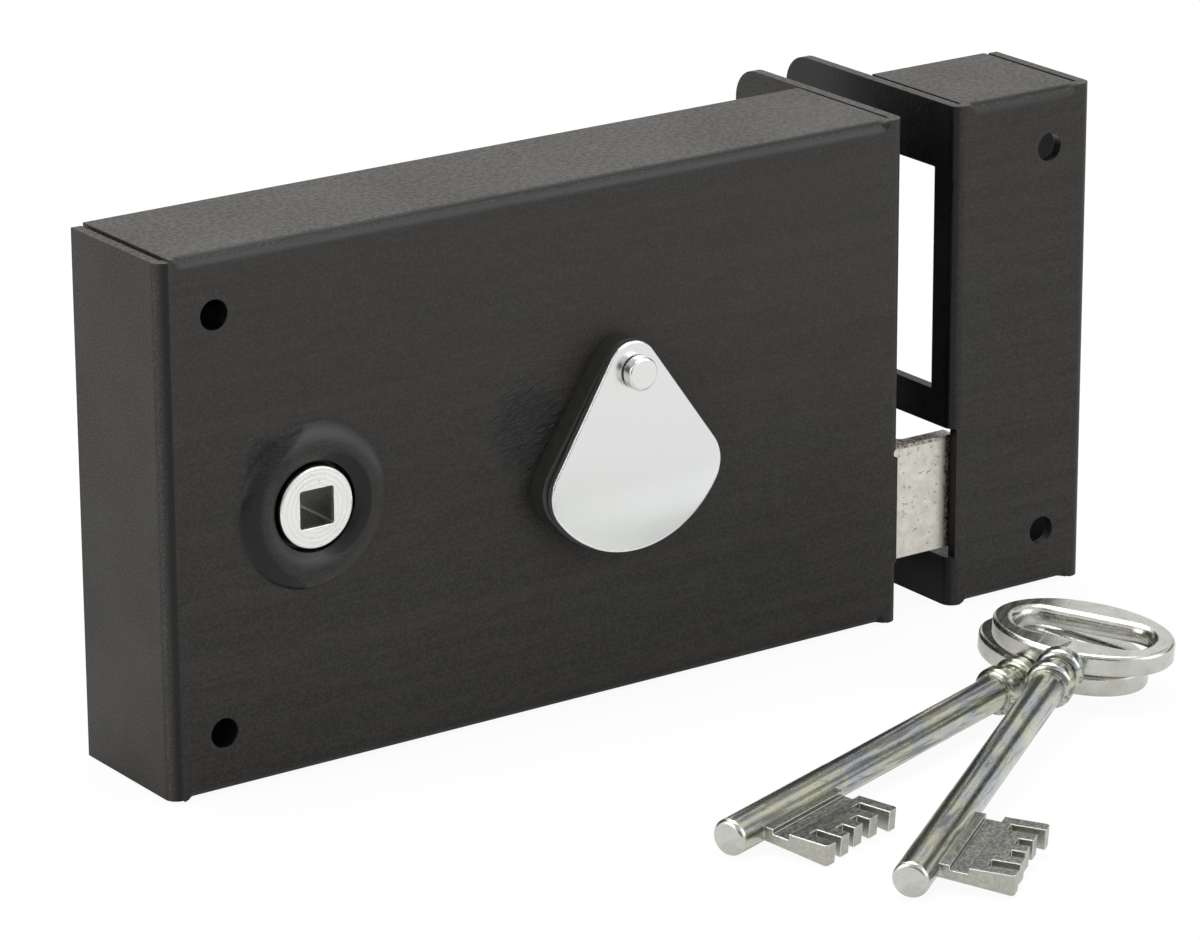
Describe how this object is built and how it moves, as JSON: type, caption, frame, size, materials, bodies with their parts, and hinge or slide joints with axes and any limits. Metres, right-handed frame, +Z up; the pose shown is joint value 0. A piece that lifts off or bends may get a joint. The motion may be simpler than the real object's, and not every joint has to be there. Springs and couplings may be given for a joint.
{
  "type": "rim box lock",
  "caption": "Surface-mounted door lock: folded sheet case with lever deadbolt, sprung latch, square-hole follower and drop cover, with its keep and bit keys.",
  "frame": {"origin": "centre of the case's door face, which is the back plate's outer face", "axes": "+X along the lock from the case towards the keep, +Y out of the door face into the door, +Z up"},
  "size_m": [0.2047, 0.1699, 0.098],
  "materials": {
    "case_paint": "fine powder coat, nearly black",
    "block_plastic": "matt black",
    "cover_zinc": "bright zinc plate",
    "follower_zinc": "bright die-cast zinc with turning marks",
    "latch_zinc": "pitted die-cast zinc",
    "key_zinc": "yellowish bright zinc plate",
    "zinc_plated_steel": "zinc plated",
    "lever_steel": "plain sheet",
    "spring_steel": "bare spring wire"
  },
  "bodies": {
    "case": {"case_front": "case_paint", "back_plate": "zinc_plated_steel", "back_plate_pillars": "zinc_plated_steel", "back_plate_screws": "zinc_plated_steel", "mounting_tubes": "zinc_plated_steel", "keyhole_block": "block_plastic", "cover_rivet": "cover_zinc", "spring_stop": "zinc_plated_steel", "latch_guide_post": "zinc_plated_steel", "latch_spring": "spring_steel", "lever_post": "zinc_plated_steel", "lever_washers": "zinc_plated_steel", "leaf_spring_block": "zinc_plated_steel", "lever_1_leaf_spring": "spring_steel", "lever_2_leaf_spring": "spring_steel", "lever_3_leaf_spring": "spring_steel", "lever_4_leaf_spring": "spring_steel"},
    "cover": {"drop_cover": "cover_zinc"},
    "follower": {"follower": "follower_zinc"},
    "latch": {"latch_bolt": "latch_zinc", "latch_tail": "zinc_plated_steel", "latch_pins": "zinc_plated_steel", "latch_rod": "zinc_plated_steel"},
    "deadbolt": {"deadbolt_head": "latch_zinc", "deadbolt_tail": "zinc_plated_steel", "deadbolt_pins": "zinc_plated_steel", "bolt_stump": "zinc_plated_steel"},
    "lever_1": {"lever_1": "lever_steel"},
    "lever_2": {"lever_2": "lever_steel"},
    "lever_3": {"lever_3": "lever_steel"},
    "lever_4": {"lever_4": "lever_steel"},
    "keep": {"keep": "case_paint"},
    "key_1": {"key_1": "key_zinc"},
    "key_2": {"key_2": "key_zinc"}
  },
  "joints": [
    {"name": "cover_swing", "type": "hinge", "parent": "case", "child": "cover", "pos_m": [0.0151, -0.034, 0.0138], "axis": [0, 1, 0], "range_deg": [-110, 110]},
    {"name": "follower_turn", "type": "hinge", "parent": "case", "child": "follower", "pos_m": [-0.05, -0.02, 0], "axis": [0, 1, 0], "range_deg": [0, 45]},
    {"name": "latch_slide", "type": "slide", "parent": "case", "child": "latch", "axis": [-1, 0, 0], "range_m": [0, 0.014], "stiffness_N_per_m": 300, "springref_m": -0.008, "deforming": ["latch_spring"]},
    {"name": "deadbolt_slide", "type": "slide", "parent": "case", "child": "deadbolt", "axis": [1, 0, 0], "range_m": [0, 0.014]},
    {"name": "lever_1_lift", "type": "hinge", "parent": "case", "child": "lever_1", "pos_m": [-0.03, -0.016, 0.022], "axis": [0, -1, 0], "range_deg": [0, 5.01], "deforming": ["lever_1_leaf_spring"]},
    {"name": "lever_2_lift", "type": "hinge", "parent": "case", "child": "lever_2", "pos_m": [-0.03, -0.016, 0.022], "axis": [0, -1, 0], "range_deg": [0, 4.21], "deforming": ["lever_2_leaf_spring"]},
    {"name": "lever_3_lift", "type": "hinge", "parent": "case", "child": "lever_3", "pos_m": [-0.03, -0.016, 0.022], "axis": [0, -1, 0], "range_deg": [0, 4.01], "deforming": ["lever_3_leaf_spring"]},
    {"name": "lever_4_lift", "type": "hinge", "parent": "case", "child": "lever_4", "pos_m": [-0.03, -0.016, 0.022], "axis": [0, -1, 0], "range_deg": [0, 4.61], "deforming": ["lever_4_leaf_spring"]},
    {"name": "keep_slide", "type": "slide", "parent": "case", "child": "keep", "axis": [1, 0, 0], "range_m": [0, 0.03]},
    {"name": "key_1_lift", "type": "slide", "parent": "case", "child": "key_1", "axis": [0, 0, 1], "range_m": [0, 0.06]},
    {"name": "key_2_lift", "type": "slide", "parent": "key_1", "child": "key_2", "axis": [0, 0, 1], "range_m": [0, 0.06]}
  ],
  "couplings": [
    {"joint": "follower_turn", "follows": "latch_slide", "rad_per_m": 56.1},
    {"joint": "lever_1_lift", "follows": "deadbolt_slide", "rad_per_m": 6.2333},
    {"joint": "lever_2_lift", "follows": "deadbolt_slide", "rad_per_m": 5.236},
    {"joint": "lever_3_lift", "follows": "deadbolt_slide", "rad_per_m": 4.9867},
    {"joint": "lever_4_lift", "follows": "deadbolt_slide", "rad_per_m": 5.7347}
  ]
}
